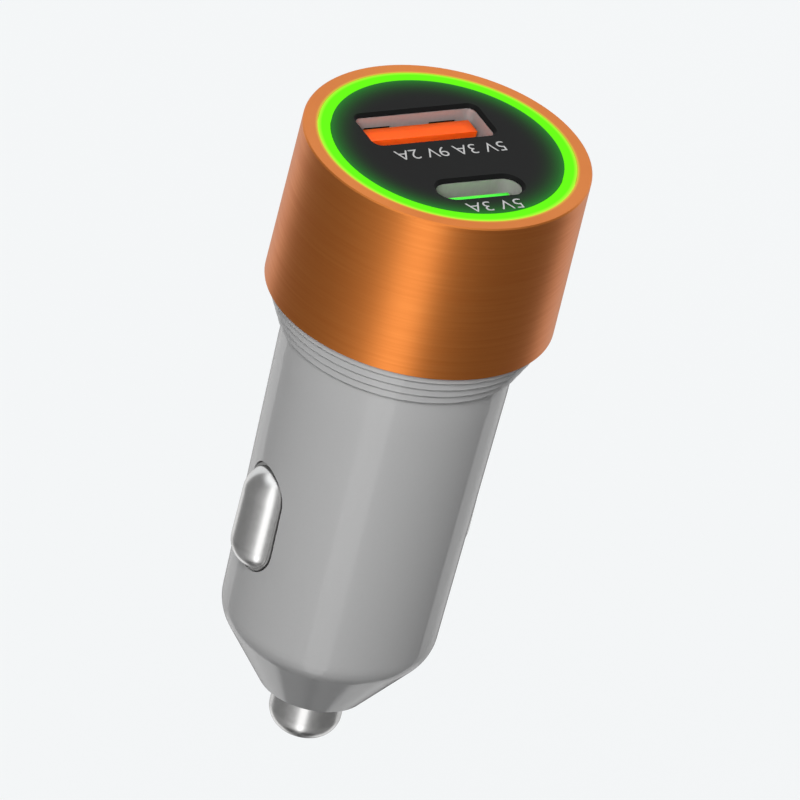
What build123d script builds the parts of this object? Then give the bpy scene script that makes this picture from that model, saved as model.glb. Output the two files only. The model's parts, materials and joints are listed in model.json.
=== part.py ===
from build123d import *
import math
import os

# A car charger plug: a turned head with two outlets, on a tapered barrel that is pushed into a 12 V socket.
# The long axis is Z and points out of the outlet face. X runs along the two outlets.
# The origin is on the long axis, at the underside of the neck, where the socket's rim stops the plug.
# Sizes are in millimetres and degrees.

# Barrel and nose
barrel_radius = 10.6
barrel_land = 3.0
barrel_length = 30.75
barrel_taper = 1.527
barrel_wall = 1.4
shoulder_round = 3.6
nose_length = 6.72
nose_end_radius = 4.93
nose_floor = 1.6

# Head sleeve, which stands out past the barrel
head_overhang = 2.7
head_height = 16.25
head_wall = 1.37
head_edge_chamfer = 0.12

# Neck of stacked rings, and the spigot above it that holds the head
neck_ring_count = 4
neck_ring_height = 1.0
neck_ring_inset = 0.48
neck_top_inset = 0.54
neck_edge_chamfer = 0.18
spigot_wall = 1.28

# Tip contact and its spring
tip_radius = 3.3
tip_reach = 4.95
tip_round = 2.24
tip_gap = 0.12
tip_travel = 2.2
tip_flange_radius = 4.6
tip_flange_height = 1.0
tip_flange_gap = 0.2
tip_cup_radius = 2.5
tip_cup_depth = 3.8
tip_spring_radius = 1.95
tip_spring_wire = 0.45
tip_spring_turns = 5
tip_spring_room = 3.2
terminal_radius = 3.0
terminal_plate = 0.4
terminal_boss_radius = 1.5
terminal_boss_height = 1.0
terminal_lug_width = 3.0
terminal_lug_height = 3.0

# Side contacts, their leaf springs and their holder
pad_shoulder_rise = 12.1
pad_length = 10.6
pad_width = 5.6
pad_proud = 1.75
pad_dome_inset = 0.1
pad_rim_drop = 0.22
pad_gap = 0.14
pad_seat_wall = 1.48
pad_travel = 1.35
pad_flange_margin = 0.8
pad_flange_thickness = 0.6
pad_wall = 0.7
pad_hollow_depth = 0.9
leaf_thickness = 0.25
leaf_width = 3.4
leaf_crown = 2.4
leaf_foot = 1.0
holder_stop_gap = 0.6
holder_depth = 5.2
holder_platform = 1.2
holder_plate = 1.6
holder_arm_width = 4.0
holder_overhang = 0.3

# Light ring and its lamps
ring_width = 1.17
ring_flange_reach = 1.0
ring_flange_thickness = 1.0
ring_skirt_wall = 0.5
led_room = 2.1
led_count = 6
led_length = 3.0
led_width = 1.4
led_height = 0.8
led_edge_gap = 0.2
led_lens_radius = 0.5
led_lens_depth = 0.15
led_board_thickness = 0.8
led_pin_radius = 0.3

# Face plate
plate_thickness = 2.2
collar_wall = 0.8
collar_depth = 6.0
leg_radius = 1.0
leg_edge_gap = 0.36
leg_angles = (90, 205, 335)

# Both outlets, each placed across the face by a share of the face's radius
a_place_share = 0.3448
c_place_share = -0.6004
outlet_length = 13.6
outlet_gap = 0.05
outlet_lip = 0.35
outlet_lead_in = 0.3
tab_width = 2.0
tab_length = 2.0
tab_hole_gap = 0.15

# Wide outlet, which sits a little off the middle
a_shift = -0.4
a_width = 12.3
a_height = 4.66
a_corner_radius = 0.7
a_sheet = 0.25
a_window_width = 2.84
a_window_length = 5.0
a_window_depth = 1.5
a_window_offset = 3.35
a_finger_width = 2.1
a_finger_gap = 0.8
a_finger_lean = 2.2
a_tongue_width = 11.3
a_tongue_thickness = 1.84
a_tongue_depth = 1.28
a_tongue_gap = 0.53
a_base_height = 2.8
a_contact_places = (-3.5, -1.0, 1.0, 3.5)
a_contact_width = 1.0
a_contact_thickness = 0.2
a_contact_bow = 0.45
a_contact_ramp = 2.0
a_contact_foot = 1.0
a_contact_setback = 0.6

# Small oval outlet
c_width = 8.5
c_height = 2.8
c_sheet = 0.2
c_tongue_width = 6.69
c_tongue_thickness = 0.7
c_tongue_depth = 1.2
c_base_height = 4.0
c_contact_count = 12
c_contact_pitch = 0.5
c_contact_width = 0.25
c_contact_thickness = 0.08
c_contact_setback = 0.5

# Circuit boards
port_board_thickness = 1.2
main_board_thickness = 1.2
main_board_edge_gap = 0.3
main_board_tab_width = 6.0
main_board_tab_rise = 0.4
board_slot_gap = 0.05
guide_thickness = 0.8
guide_reach = 0.7

# Parts on the main board
capacitor_bore_share = 0.35
capacitor_groove = 0.3
capacitor_groove_drop = 1.2
capacitor_holder_gap = 1.8
capacitor_chip_gap = 0.1
capacitor_side_gap = 0.4
capacitor_board_gap = 0.1
capacitor_lead_radius = 0.25
capacitor_lead_pitch = 2.5
capacitor_lead_rise = 0.9
capacitor_lead_bend = 0.5
drum_radius = 3.9
drum_height = 4.8
drum_flange = 0.9
drum_core_radius = 2.0
winding_inset = 0.3
winding_gap = 0.02
chip_length = 4.9
chip_width = 3.9
chip_height = 1.4
chip_standoff = 0.1
chip_lead_count = 4
chip_lead_pitch = 1.27
chip_lead_width = 0.4
chip_lead_thickness = 0.2
chip_lead_reach = 1.0
chip_port_board_gap = 0.35

# Clearance of pieces that are slid together, and of pieces that rest near each other
slip_gap = 0.1
rest_gap = 0.05

# Sides of the polygon that stands for a thin wire's round section, which keeps the mesh light
wire_sides = 6

# Heights and radii that follow from the sizes above
neck_height = neck_ring_count * neck_ring_height
face_height = neck_height + head_height
head_radius = barrel_radius + head_overhang
head_bore_radius = head_radius - head_wall
neck_top_radius = head_radius - neck_top_inset
spigot_radius = head_bore_radius - slip_gap
spigot_bore_radius = spigot_radius - spigot_wall
plate_bottom = face_height - plate_thickness
ring_flange_bottom = plate_bottom - ring_flange_thickness
led_board_top = ring_flange_bottom - led_room
spigot_top = led_board_top - led_board_thickness
bore_radius = barrel_radius - barrel_wall
shoulder_height = -barrel_length
nose_end = shoulder_height - nose_length
taper_rate = math.tan(math.radians(barrel_taper))


def barrel_outer(height):
    """Outer radius of the tapered barrel at a height below its land."""
    return barrel_radius - (-barrel_land - height) * taper_rate


barrel_end_radius = barrel_outer(shoulder_height)
nose_rate = (barrel_end_radius - nose_end_radius) / nose_length
nose_floor_top = nose_end + nose_floor
nose_wall_growth = barrel_wall * (math.hypot(1, nose_rate) - 1)
inner_shoulder = shoulder_height + nose_wall_growth / (nose_rate - taper_rate)
tip_bore_radius = tip_radius + tip_gap
flange_bore_radius = tip_flange_radius + tip_flange_gap
flange_bore_top = nose_floor_top + tip_flange_height + 2 * tip_flange_gap
tip_end = nose_end - tip_reach
tip_flange_base = nose_floor_top + rest_gap
tip_flange_top = tip_flange_base + tip_flange_height
tip_cup_floor = tip_flange_top - tip_cup_depth
port_board_top = face_height - outlet_length
port_board_ledge = port_board_top - port_board_thickness
shell_top = face_height - outlet_lip - rest_gap
ring_outer_radius = head_bore_radius - rest_gap
ring_inner_radius = head_bore_radius - ring_width
ring_flange_inner_radius = ring_inner_radius - ring_flange_reach
ring_skirt_inner_radius = ring_outer_radius - ring_skirt_wall
led_circle_radius = ring_skirt_inner_radius - led_edge_gap - led_width / 2
led_pin_circle_radius = spigot_bore_radius - slip_gap - led_pin_radius
plate_neck_radius = ring_flange_inner_radius - slip_gap
leg_circle_radius = plate_neck_radius - leg_edge_gap - leg_radius
a_middle = a_place_share * ring_inner_radius
c_middle = c_place_share * ring_inner_radius
a_centre = (a_shift, a_middle)
c_centre = (0, c_middle)
pad_middle = shoulder_height + pad_shoulder_rise
pad_crown = barrel_outer(pad_middle) + pad_proud
pad_rim = barrel_outer(pad_middle) - pad_rim_drop
pad_dome_radius = pad_width / 2 - pad_dome_inset
pad_seat = barrel_outer(pad_middle) - pad_seat_wall
pad_flange_length = pad_length + 2 * pad_flange_margin
pad_flange_width = pad_width + 2 * pad_flange_margin
pad_flange_outer = pad_seat - rest_gap
pad_flange_inner = pad_flange_outer - pad_flange_thickness
pad_hollow_end = pad_flange_outer + pad_hollow_depth - pad_flange_thickness
holder_half_width = pad_flange_inner - pad_travel - holder_stop_gap
holder_platform_inner = holder_half_width - holder_platform
holder_top = pad_middle + pad_flange_length / 2 + holder_overhang
holder_bottom = pad_middle - pad_flange_length / 2 - holder_overhang
holder_arm_radius = barrel_outer(holder_bottom) - barrel_wall - slip_gap
main_board_half_width = barrel_outer(holder_top) - barrel_wall - main_board_edge_gap
main_board_narrow_half = holder_platform_inner - main_board_edge_gap
main_board_step = holder_top + main_board_thickness
chip_middle = port_board_ledge - chip_port_board_gap - chip_lead_reach - chip_width / 2
chip_low = chip_middle - chip_width / 2 - chip_lead_reach
capacitor_base = holder_top + capacitor_holder_gap
capacitor_top = chip_low - capacitor_chip_gap - capacitor_lead_radius - capacitor_lead_rise
capacitor_radius = capacitor_bore_share * (barrel_outer(capacitor_base) - barrel_wall)
drum_middle = (holder_top + chip_low) / 2
winding_radius = drum_radius - winding_inset
terminal_base = tip_flange_top + tip_travel + tip_spring_room
main_board_bottom = terminal_base + terminal_plate


def turned(*outline):
    """Solid of revolution about the long axis, from (radius, height) points."""
    return revolve(Plane.XZ * make_face(Polyline(*outline, close=True)), Axis.Z)


def ring_edge(part, radius, height):
    """Round edge of a turned solid that lies nearest a radius and height."""
    circles = part.edges().filter_by(GeomType.CIRCLE)
    return circles.sort_by(lambda edge: abs(edge.radius - radius) + abs(edge.arc_center.Z - height))[0]


def block(x_span, y_span, z_span):
    """Box between two values along each axis."""
    spans = (x_span, y_span, z_span)
    middles = [(low + high) / 2 for low, high in spans]
    lengths = [high - low for low, high in spans]
    return Pos(*middles) * Box(*lengths)


def standing(outline, low, high):
    """Solid of a flat outline between two heights."""
    return extrude(Pos(0, 0, low) * outline, amount=high - low)


def wire(path, radius):
    """Thin wire along a path."""
    return sweep(Plane(origin=path @ 0, z_dir=path % 0) * RegularPolygon(radius, wire_sides), path=path)


def radial_slot(length, width, inner, outer):
    """Upright rounded slot at the side contact's height, run outward along X."""
    outline = Plane.YZ.offset(inner) * Pos(0, pad_middle) * SlotOverall(length, width, rotation=90)
    return extrude(outline, amount=outer - inner)


def on_circle(radius, angle):
    """Point on a circle about the long axis."""
    return (radius * math.cos(math.radians(angle)), radius * math.sin(math.radians(angle)))


# Head sleeve, turned from tube
def make_head_shell():
    sleeve = turned(
        (head_bore_radius, neck_height),
        (head_radius, neck_height),
        (head_radius, face_height),
        (head_bore_radius, face_height),
    )
    return chamfer(ring_edge(sleeve, head_radius, face_height), head_edge_chamfer)


# One moulding: spigot, neck rings, barrel, shoulder and nose
def make_body_shell():
    rings = []
    for step in range(neck_ring_count):
        radius = neck_top_radius - step * neck_ring_inset
        top = neck_height - step * neck_ring_height
        rings += [(radius, top), (radius, top - neck_ring_height)]
    shell = turned(
        (spigot_radius, spigot_top),
        (spigot_radius, neck_height),
        *rings,
        (barrel_radius, 0),
        (barrel_radius, -barrel_land),
        (barrel_end_radius, shoulder_height),
        (nose_end_radius, nose_end),
        (tip_bore_radius, nose_end),
        (tip_bore_radius, nose_floor_top),
        (flange_bore_radius, nose_floor_top),
        (flange_bore_radius, flange_bore_top),
        (barrel_outer(inner_shoulder) - barrel_wall, inner_shoulder),
        (bore_radius, -barrel_land),
        (bore_radius, port_board_ledge),
        (spigot_bore_radius, port_board_ledge),
        (spigot_bore_radius, spigot_top),
    )
    ring_corners = [ring_edge(shell, radius, height) for radius, height in rings[1::2]]
    shell = chamfer(ring_corners, neck_edge_chamfer)
    shell = fillet(ring_edge(shell, barrel_end_radius, shoulder_height), shoulder_round)
    slot = radial_slot(pad_length + 2 * pad_gap, pad_width + 2 * pad_gap, pad_seat, head_radius)
    pocket_length = pad_flange_length + 2 * pad_gap
    pocket_width = pad_flange_width + 2 * pad_gap
    pocket = radial_slot(pocket_length, pocket_width, holder_half_width, pad_seat)
    guide_inner = main_board_half_width - guide_reach
    for side in (-1, 1):
        turn = Rot(0, 0, 0 if side > 0 else 180)
        shell -= turn * (slot + pocket)
        for face in (-1, 1):
            near = face * (main_board_thickness / 2 + slip_gap)
            far = near + face * guide_thickness
            rail = block(
                (guide_inner, bore_radius + barrel_wall / 2),
                (min(near, far), max(near, far)),
                (main_board_step, port_board_ledge),
            )
            shell += turn * rail
    return shell


# Tip contact, turned with a flange that the nose holds back and a cup for its spring
def make_tip_contact():
    pin = turned(
        (0, tip_end),
        (tip_radius, tip_end),
        (tip_radius, tip_flange_base),
        (tip_flange_radius, tip_flange_base),
        (tip_flange_radius, tip_flange_top),
        (tip_cup_radius, tip_flange_top),
        (tip_cup_radius, tip_cup_floor),
        (0, tip_cup_floor),
    )
    return fillet(ring_edge(pin, tip_radius, tip_end), tip_round)


# Coil spring between the tip contact and its terminal
def make_tip_spring():
    low = tip_cup_floor + tip_spring_wire / 2 + rest_gap
    high = terminal_base - tip_spring_wire / 2 - rest_gap
    coil = Pos(0, 0, low) * Helix((high - low) / tip_spring_turns, high - low, tip_spring_radius)
    return wire(coil, tip_spring_wire / 2)


# Positive terminal: a plate on the end of the main board with a boss for the spring and two lugs
def make_positive_terminal():
    plate = turned(
        (0, terminal_base - terminal_boss_height),
        (terminal_boss_radius, terminal_base - terminal_boss_height),
        (terminal_boss_radius, terminal_base),
        (terminal_radius, terminal_base),
        (terminal_radius, main_board_bottom),
        (0, main_board_bottom),
    )
    board_face = main_board_thickness / 2
    half = terminal_lug_width / 2
    for side in (-1, 1):
        near = side * board_face
        far = side * (board_face + terminal_plate)
        lug_top = main_board_bottom + terminal_lug_height
        plate += block((-half, half), (min(near, far), max(near, far)), (terminal_base, lug_top))
    return plate


# Side contact on the +X side: a long dome on a flat rim in the barrel's slot, with a flange behind the wall
def make_side_contact():
    straight = pad_length - pad_width
    dome = Cylinder(pad_dome_radius, straight)
    for end in (-1, 1):
        dome += Pos(0, 0, end * straight / 2) * Sphere(pad_dome_radius)
    pad = Pos(pad_crown - pad_dome_radius, 0, pad_middle) * dome
    pad &= radial_slot(pad_length, pad_width, pad_rim, head_radius)
    pad += radial_slot(pad_length, pad_width, pad_flange_inner, pad_rim)
    pad += radial_slot(pad_flange_length, pad_flange_width, pad_flange_inner, pad_flange_outer)
    hollow_length = pad_length - 2 * pad_wall
    hollow_width = pad_width - 2 * pad_wall
    return pad - radial_slot(hollow_length, hollow_width, pad_flange_inner, pad_hollow_end)


# Leaf spring on the +X side, bent from strip, with its upper foot long enough to reach the board
def make_leaf_spring():
    seat = holder_half_width + leaf_thickness / 2
    crown = pad_hollow_end - rest_gap - leaf_thickness / 2
    foot_start = pad_flange_length / 2 - leaf_foot
    path = Polyline(
        (seat, pad_middle - foot_start - leaf_foot),
        (seat, pad_middle - foot_start),
        (crown, pad_middle - leaf_crown / 2),
        (crown, pad_middle + leaf_crown / 2),
        (seat, pad_middle + foot_start),
        (seat, main_board_step - leaf_thickness / 2),
    )
    strip = make_face(offset(path, amount=leaf_thickness / 2, side=Side.BOTH, kind=Kind.INTERSECTION))
    return extrude(Plane.XZ * strip, amount=leaf_width / 2, both=True)


# Holder for both leaf springs: two end plates that centre it in the bore, and two platforms
def make_contact_holder():
    half_depth = holder_depth / 2
    half_arm = holder_arm_width / 2
    pieces = []
    for low, high in ((holder_bottom, holder_bottom + holder_plate), (holder_top - holder_plate, holder_top)):
        pieces.append(block((-holder_half_width, holder_half_width), (-half_depth, half_depth), (low, high)))
        pieces.append(block((-half_arm, half_arm), (-bore_radius, bore_radius), (low, high)))
    sides = ((-holder_half_width, -holder_platform_inner), (holder_platform_inner, holder_half_width))
    for inner, outer in sides:
        pieces.append(block((inner, outer), (-half_depth, half_depth), (holder_bottom, holder_top)))
    holder = Part() + pieces
    holder &= standing(Circle(holder_arm_radius), holder_bottom, holder_top)
    slot_x = main_board_narrow_half + board_slot_gap
    slot_y = main_board_thickness / 2 + board_slot_gap
    return holder - block((-slot_x, slot_x), (-slot_y, slot_y), (holder_bottom, holder_top))


# Clear light ring with a flange that carries the face plate and a skirt around the lamps
def make_light_ring():
    return turned(
        (ring_outer_radius, led_board_top),
        (ring_outer_radius, face_height),
        (ring_inner_radius, face_height),
        (ring_inner_radius, plate_bottom),
        (ring_flange_inner_radius, plate_bottom),
        (ring_flange_inner_radius, ring_flange_bottom),
        (ring_skirt_inner_radius, ring_flange_bottom),
        (ring_skirt_inner_radius, led_board_top),
    )


# Ring-shaped board that carries the lamps
def make_led_board():
    return turned(
        (ring_flange_inner_radius, spigot_top),
        (spigot_radius, spigot_top),
        (spigot_radius, led_board_top),
        (ring_flange_inner_radius, led_board_top),
    )


def make_led(index):
    top = led_board_top + led_height
    case = block(
        (led_circle_radius - led_width / 2, led_circle_radius + led_width / 2),
        (-led_length / 2, led_length / 2),
        (led_board_top, top),
    )
    lens = standing(Pos(led_circle_radius, 0) * Circle(led_lens_radius), top - led_lens_depth, top)
    angle = (index + 0.5) * 360 / led_count
    return Rot(0, 0, angle) * (case - lens)


# Two pins that feed the lamp board from the port board
def make_led_pins():
    height = spigot_top - port_board_top
    pins = []
    for angle in (0, 180):
        spot = on_circle(led_pin_circle_radius, angle)
        pins.append(Pos(*spot, port_board_top + height / 2) * Cylinder(led_pin_radius, height))
    return Part() + pins


def a_outline(growth=0):
    """Opening of the wide outlet in the plane of the face, grown all round."""
    corner = a_corner_radius + growth
    return Pos(*a_centre) * RectangleRounded(a_width + 2 * growth, a_height + 2 * growth, corner)


def c_outline(growth=0):
    """Opening of the small outlet in the plane of the face, grown all round."""
    return Pos(*c_centre) * SlotOverall(c_width + 2 * growth, c_height + 2 * growth)


# Black face plate with a bevelled lip over each outlet's shell, a collar around it, and legs to the port board
def make_face_plate():
    plate_radius = ring_inner_radius - rest_gap
    collar_low = plate_bottom - collar_depth
    collars = standing(a_outline(a_sheet + collar_wall), collar_low, plate_bottom)
    collars += standing(c_outline(c_sheet + collar_wall), collar_low, plate_bottom)
    for angle in leg_angles:
        leg = Pos(*on_circle(leg_circle_radius, angle)) * Circle(leg_radius)
        collars += standing(leg, port_board_top, plate_bottom)
    collars &= standing(Circle(plate_neck_radius), port_board_top, plate_bottom)
    plate = standing(Circle(plate_radius), plate_bottom, face_height) + collars
    lip_bottom = face_height - outlet_lip
    for outline, sheet in ((a_outline, a_sheet), (c_outline, c_sheet)):
        plate -= standing(outline(), port_board_top, face_height)
        plate -= standing(outline(sheet + outlet_gap), port_board_top, lip_bottom)
    face_edges = plate.edges().group_by(Axis.Z)[-1]
    opening_edges = face_edges.sort_by(SortBy.LENGTH)[:-1]
    return chamfer(opening_edges, outlet_lead_in)


def solder_tabs(width, sheet, centre, growth=0):
    """Tabs at both ends of an outlet's shell, down through the port board."""
    x_middle, y_middle = centre
    tabs = []
    for side in (-1, 1):
        place = x_middle + side * (width + sheet) / 2
        half_sheet = sheet / 2 + growth
        half_tab = tab_width / 2 + growth
        tab = block(
            (place - half_sheet, place + half_sheet),
            (y_middle - half_tab, y_middle + half_tab),
            (port_board_top - tab_length, port_board_top),
        )
        tabs.append(tab)
    return Part() + tabs


# Sheet steel shell of the wide outlet, with two sprung fingers in each broad wall
def make_usb_a_shell():
    shell = standing(a_outline(a_sheet) - a_outline(), port_board_top, shell_top)
    window_top = face_height - a_window_depth
    window_bottom = window_top - a_window_length
    finger_top = window_top - a_finger_gap
    for wall in (-1, 1):
        wall_middle = a_middle + wall * (a_height + a_sheet) / 2
        for side in (-1, 1):
            place = a_shift + side * a_window_offset
            half_window = a_window_width / 2
            shell -= block(
                (place - half_window, place + half_window),
                (wall_middle - a_sheet, wall_middle + a_sheet),
                (window_bottom, window_top),
            )
            finger = block(
                (-a_finger_width / 2, a_finger_width / 2),
                (-a_sheet / 2, a_sheet / 2),
                (-a_sheet, finger_top - window_bottom),
            )
            shell += Pos(place, wall_middle, window_bottom) * Rot(wall * a_finger_lean, 0, 0) * finger
    return shell + solder_tabs(a_width, a_sheet, a_centre)


# Four bowed contacts of the wide outlet, on the tongue's inner face
def make_usb_a_contacts():
    face = a_middle + a_height / 2 - a_tongue_gap - a_tongue_thickness
    top = face_height - a_tongue_depth - a_contact_setback
    low = port_board_top - tab_length
    straight_top = port_board_top + a_base_height + a_contact_foot
    bow_top = top - a_contact_ramp
    strip = make_face(
        Polyline(
            (face, low),
            (face, top),
            (face - a_contact_thickness, top),
            (face - a_contact_thickness - a_contact_bow, bow_top),
            (face - a_contact_thickness, straight_top),
            (face - a_contact_thickness, low),
            close=True,
        )
    )
    contacts = []
    for place in a_contact_places:
        plane = Plane.YZ.offset(a_shift + place)
        contacts.append(extrude(plane * strip, amount=a_contact_width / 2, both=True))
    return Part() + contacts


# Insulating tongue of the wide outlet, on a base that closes the shell
def make_usb_a_tongue(contacts):
    tongue_outer = a_middle + a_height / 2 - a_tongue_gap
    half = a_tongue_width / 2
    tongue = block(
        (a_shift - half, a_shift + half),
        (tongue_outer - a_tongue_thickness, tongue_outer),
        (port_board_top, face_height - a_tongue_depth),
    )
    base_top = port_board_top + a_base_height
    return tongue + standing(a_outline(-outlet_gap), port_board_top, base_top) - contacts


# Drawn steel shell of the small oval outlet
def make_usb_c_shell():
    shell = standing(c_outline(c_sheet) - c_outline(), port_board_top, shell_top)
    return shell + solder_tabs(c_width, c_sheet, c_centre)


# Two rows of flat contacts let into both faces of the small tongue
def make_usb_c_contacts():
    contacts = []
    top = face_height - c_tongue_depth - c_contact_setback
    for side in (-1, 1):
        outer = c_middle + side * c_tongue_thickness / 2
        inner = outer - side * c_contact_thickness
        for index in range(c_contact_count):
            place = (index - (c_contact_count - 1) / 2) * c_contact_pitch
            contact = block(
                (place - c_contact_width / 2, place + c_contact_width / 2),
                (min(inner, outer), max(inner, outer)),
                (port_board_top, top),
            )
            contacts.append(contact)
    return Part() + contacts


# Insulating tongue of the small outlet, moulded around its contacts
def make_usb_c_tongue(contacts):
    half = c_tongue_width / 2
    tongue = block(
        (-half, half),
        (c_middle - c_tongue_thickness / 2, c_middle + c_tongue_thickness / 2),
        (port_board_top, face_height - c_tongue_depth),
    )
    base_top = port_board_top + c_base_height
    return tongue + standing(c_outline(-outlet_gap), port_board_top, base_top) - contacts


# Round board that carries both outlets and rests on the ledge in the spigot
def make_port_board():
    radius = spigot_bore_radius - slip_gap
    board = standing(Circle(radius), port_board_ledge, port_board_top)
    slot_x = main_board_tab_width / 2 + board_slot_gap
    slot_y = main_board_thickness / 2 + board_slot_gap
    board -= block((-slot_x, slot_x), (-slot_y, slot_y), (port_board_ledge, port_board_top))
    board -= solder_tabs(a_width, a_sheet, a_centre, tab_hole_gap)
    board -= solder_tabs(c_width, c_sheet, c_centre, tab_hole_gap)
    contact_face = a_middle + a_height / 2 - a_tongue_gap - a_tongue_thickness
    half = a_contact_width / 2 + tab_hole_gap
    for place in a_contact_places:
        middle = a_shift + place
        board -= block(
            (middle - half, middle + half),
            (contact_face - a_contact_thickness - tab_hole_gap, contact_face + tab_hole_gap),
            (port_board_ledge, port_board_top),
        )
    return board


# Upright board with a tab through the port board and a narrow end between the side contacts
def make_main_board():
    wide = main_board_half_width
    tab = main_board_tab_width / 2
    tab_top = port_board_top + main_board_tab_rise
    right = [
        (main_board_narrow_half, main_board_bottom),
        (main_board_narrow_half, main_board_step),
        (wide, main_board_step),
        (wide, port_board_ledge),
        (tab, port_board_ledge),
        (tab, tab_top),
    ]
    left = [(-x, z) for x, z in reversed(right)]
    outline = make_face(Polyline(*right, *left, close=True))
    return extrude(Plane.XZ * outline, amount=main_board_thickness / 2, both=True)


# Rolled can with a crimped groove, standing along the board, and two bent leads
def make_capacitor(side):
    board_face = main_board_thickness / 2
    x_middle = side * (capacitor_side_gap + capacitor_radius)
    y_middle = board_face + capacitor_board_gap + capacitor_radius
    groove_middle = capacitor_top - capacitor_groove_drop
    can = turned(
        (0, capacitor_base),
        (capacitor_radius, capacitor_base),
        (capacitor_radius, groove_middle - capacitor_groove),
        (capacitor_radius - capacitor_groove, groove_middle),
        (capacitor_radius, groove_middle + capacitor_groove),
        (capacitor_radius, capacitor_top),
        (0, capacitor_top),
    )
    part = Pos(x_middle, y_middle) * can
    for lead in (-1, 1):
        x = x_middle + lead * capacitor_lead_pitch / 2
        bend_height = capacitor_top + capacitor_lead_rise
        path = FilletPolyline(
            (x, y_middle, capacitor_top),
            (x, y_middle, bend_height),
            (x, board_face, bend_height),
            radius=capacitor_lead_bend,
        )
        part += wire(path, capacitor_lead_radius)
    return part


def facing_back(part):
    """Stands a piece that was turned about Z on the back face of the main board."""
    return Pos(0, -main_board_thickness / 2, drum_middle) * Rot(90, 0, 0) * part


# Ferrite drum of the choke
def make_inductor_core():
    return facing_back(
        turned(
            (0, 0),
            (drum_radius, 0),
            (drum_radius, drum_flange),
            (drum_core_radius, drum_flange),
            (drum_core_radius, drum_height - drum_flange),
            (drum_radius, drum_height - drum_flange),
            (drum_radius, drum_height),
            (0, drum_height),
        )
    )


# Copper winding on the drum
def make_inductor_winding():
    low = drum_flange + winding_gap
    high = drum_height - drum_flange - winding_gap
    inner = drum_core_radius + winding_gap
    return facing_back(turned((inner, low), (winding_radius, low), (winding_radius, high), (inner, high)))


# Controller chip with gull-wing leads, on the front (+1) or back (-1) face of the main board
def make_chip(face):
    body = block(
        (-chip_length / 2, chip_length / 2),
        (chip_standoff, chip_standoff + chip_height),
        (-chip_width / 2, chip_width / 2),
    )
    for side in (-1, 1):
        for index in range(chip_lead_count):
            place = (index - (chip_lead_count - 1) / 2) * chip_lead_pitch
            shoulder = side * (chip_width / 2 + chip_lead_reach / 2)
            toe = side * (chip_width / 2 + chip_lead_reach)
            knee_height = chip_standoff + chip_height / 2
            lead = Polyline(
                (side * chip_width / 2, knee_height),
                (shoulder, knee_height),
                (shoulder, 0),
                (toe, 0),
                (toe, chip_lead_thickness),
                (shoulder + side * chip_lead_thickness, chip_lead_thickness),
                (shoulder + side * chip_lead_thickness, knee_height + chip_lead_thickness),
                (side * chip_width / 2, knee_height + chip_lead_thickness),
                close=True,
            )
            plane = Plane(origin=(place, 0, 0), x_dir=(0, 0, 1), z_dir=(-1, 0, 0))
            body += extrude(plane * make_face(lead), amount=chip_lead_width / 2, both=True)
    turn = Rot(0, 0, 0 if face > 0 else 180)
    return Pos(0, face * main_board_thickness / 2, chip_middle) * turn * body


usb_a_contacts = make_usb_a_contacts()
usb_c_contacts = make_usb_c_contacts()
side_contact = make_side_contact()
leaf_spring = make_leaf_spring()
half_turn = Rot(0, 0, 180)

parts = {
    "head_shell": make_head_shell(),
    "body_shell": make_body_shell(),
    "light_ring": make_light_ring(),
    "face_plate": make_face_plate(),
    "led_board": make_led_board(),
    "led_pins": make_led_pins(),
    "usb_a_shell": make_usb_a_shell(),
    "usb_a_tongue": make_usb_a_tongue(usb_a_contacts),
    "usb_a_contacts": usb_a_contacts,
    "usb_c_shell": make_usb_c_shell(),
    "usb_c_tongue": make_usb_c_tongue(usb_c_contacts),
    "usb_c_contacts": usb_c_contacts,
    "port_board": make_port_board(),
    "main_board": make_main_board(),
    "charge_controller": make_chip(1),
    "buck_controller": make_chip(-1),
    "input_capacitor": make_capacitor(-1),
    "output_capacitor": make_capacitor(1),
    "inductor_core": make_inductor_core(),
    "inductor_winding": make_inductor_winding(),
    "contact_holder": make_contact_holder(),
    "right_contact": side_contact,
    "left_contact": half_turn * side_contact,
    "right_leaf_spring": leaf_spring,
    "left_leaf_spring": half_turn * leaf_spring,
    "positive_terminal": make_positive_terminal(),
    "tip_spring": make_tip_spring(),
    "tip_contact": make_tip_contact(),
}
for index in range(led_count):
    parts[f"led_{index + 1}"] = make_led(index)

os.makedirs("parts", exist_ok=True)
for name, part in parts.items():
    export_step(part, f"parts/{name}.step")
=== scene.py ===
import json
import math

import bmesh
import bpy
from bpy.props import FloatProperty, FloatVectorProperty, IntProperty, PointerProperty, StringProperty
from mathutils import Matrix, Quaternion, Vector


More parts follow.
